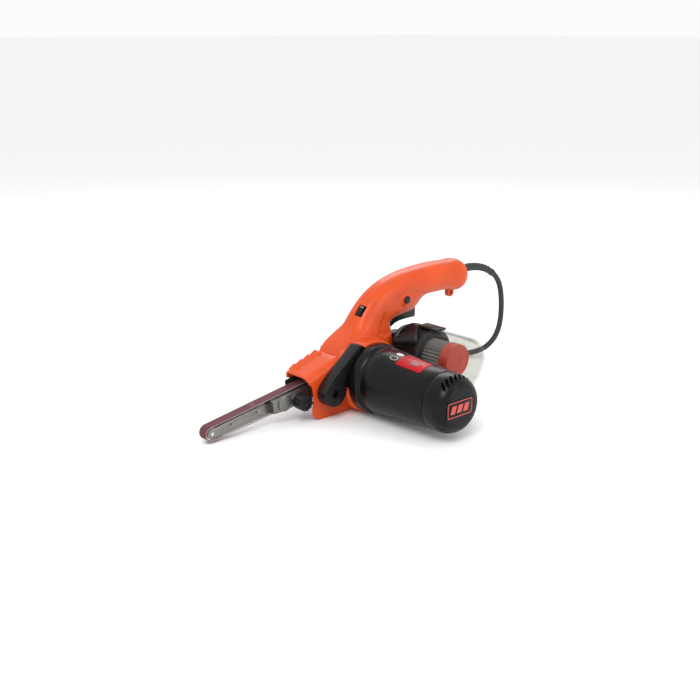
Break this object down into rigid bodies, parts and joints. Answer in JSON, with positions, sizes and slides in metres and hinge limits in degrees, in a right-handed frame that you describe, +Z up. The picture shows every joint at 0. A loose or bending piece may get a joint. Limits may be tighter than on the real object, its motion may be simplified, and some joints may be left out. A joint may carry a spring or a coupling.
{
  "type": "handheld belt sander",
  "caption": "Narrow handheld belt sander with a cross-mounted motor, tensioned front arm, rear trigger handle, clear dust cup and mains cord.",
  "frame": {"origin": "bottom centre of the tool's bounding box without its cord, coil and plug, on the surface it stands on", "axes": "-X towards the tip of the sanding arm, +X towards the end of the handle, -Y the motor's side, +Z up"},
  "size_m": [0.4673, 0.3067, 0.146],
  "materials": {
    "orange_shell": "fine moulded texture, satin",
    "orange_clear": "smooth moulded",
    "black_barrel": "semi-gloss moulded",
    "black_plastic": "fine moulded texture",
    "red_label": "printed film",
    "zinc_casting": "as cast",
    "pressed_steel": "pressed sheet",
    "bright_steel": "turned",
    "dark_steel": "blackened",
    "laminations": "stacked sheet",
    "copper_wire": "enamelled wire",
    "brush_carbon": "pressed carbon",
    "brush_box": "moulded resin",
    "fan_plastic": "moulded",
    "abrasive": "abrasive grit on cloth",
    "rubber": "soft moulded",
    "circuit_board": "board with parts",
    "clear_cup": "clear moulded plastic",
    "filter_paper": "pleated paper",
    "spring_steel": "drawn wire"
  },
  "bodies": {
    "tool_body": {"body_left": "orange_shell", "body_right": "orange_shell", "nose_shroud": "orange_shell", "belt_guard": "black_plastic", "housing_screws": "dark_steel", "motor_housing": "black_barrel", "motor_end_cap": "black_barrel", "badge_plate": "black_plastic", "rating_label": "red_label", "motor_screws": "bright_steel", "stator_core": "laminations", "field_coils": "copper_wire", "front_bearing": "bright_steel", "rear_bearing": "bright_steel", "brush_holders": "brush_box", "carbon_brushes": "brush_carbon", "abrasive_belt": "abrasive", "arm_casting": "zinc_casting", "tension_spring": "spring_steel", "trigger_spring": "spring_steel", "switch_body": "black_plastic", "speed_module": "circuit_board", "cord_clamp": "black_plastic", "strain_relief": "rubber", "power_cord": "rubber", "cord_coil": "rubber", "plug_body": "rubber", "plug_pins": "bright_steel", "dust_duct": "black_plastic"},
    "rotor": {"motor_shaft": "bright_steel", "armature_core": "laminations", "armature_windings": "copper_wire", "commutator": "copper_wire", "cooling_fan": "fan_plastic", "drive_roller": "rubber"},
    "sliding_arm": {"front_arm": "pressed_steel", "platen": "bright_steel", "arm_rivets": "dark_steel", "tip_axle": "bright_steel"},
    "tip_wheel": {"tip_roller": "bright_steel"},
    "lever": {"tension_lever": "black_plastic", "lever_shaft": "bright_steel", "lever_screw": "dark_steel"},
    "tracking": {"tracking_knob": "black_plastic", "tracking_screw": "bright_steel"},
    "trigger_part": {"trigger": "black_plastic"},
    "lock_part": {"lock_button": "black_plastic"},
    "speed_part": {"speed_wheel": "black_plastic"},
    "canister": {"canister_base": "black_plastic", "canister_latch": "black_plastic", "cup_seal": "rubber", "filter_frame": "black_plastic", "filter_pleats": "filter_paper", "filter_cap": "orange_clear"},
    "cup": {"dust_cup": "clear_cup"}
  },
  "joints": [
    {"name": "lever_open", "type": "hinge", "parent": "tool_body", "child": "lever", "pos_m": [-0.046, 0.0464, 0.031], "axis": [0, -1, 0], "range_deg": [0, 60]},
    {"name": "arm_retract", "type": "slide", "parent": "tool_body", "child": "sliding_arm", "axis": [0.989, 0, 0.1478], "range_m": [0, 0.006], "deforming": ["tension_spring"]},
    {"name": "rotor_spin", "type": "hinge", "parent": "tool_body", "child": "rotor", "pos_m": [0.009, 0.0814, 0.0395], "axis": [0, 1, 0], "continuous": true},
    {"name": "tip_spin", "type": "hinge", "parent": "sliding_arm", "child": "tip_wheel", "pos_m": [-0.1851, 0.0814, 0.01049], "axis": [0, 1, 0], "continuous": true},
    {"name": "trigger_press", "type": "hinge", "parent": "tool_body", "child": "trigger_part", "pos_m": [0.069, 0.0754, 0.0965], "axis": [0, -1, 0], "range_deg": [0, 6], "stiffness_Nm_per_rad": 0.6, "springref_deg": -5.73, "deforming": ["trigger_spring"]},
    {"name": "lock_press", "type": "slide", "parent": "tool_body", "child": "lock_part", "axis": [0, 1, 0], "range_m": [0, 0.003], "stiffness_N_per_m": 300, "springref_m": -0.001},
    {"name": "speed_turn", "type": "hinge", "parent": "tool_body", "child": "speed_part", "pos_m": [0.0248, 0.0704, 0.1025], "axis": [0, 1, 0], "range_deg": [-135, 135]},
    {"name": "tracking_turn", "type": "hinge", "parent": "tool_body", "child": "tracking", "pos_m": [-0.07554, 0.0614, 0.02333], "axis": [0, 1, 0], "range_deg": [-180, 180]},
    {"name": "canister_pull", "type": "slide", "parent": "tool_body", "child": "canister", "axis": [1, 0, 0], "range_m": [0, 0.04]},
    {"name": "cup_pull", "type": "slide", "parent": "canister", "child": "cup", "axis": [0, -1, 0], "range_m": [0, 0.07]}
  ],
  "couplings": [
    {"joint": "arm_retract", "follows": "lever_open", "m_per_rad": 0.00573},
    {"joint": "tip_spin", "follows": "rotor_spin", "ratio": 1.4636}
  ]
}
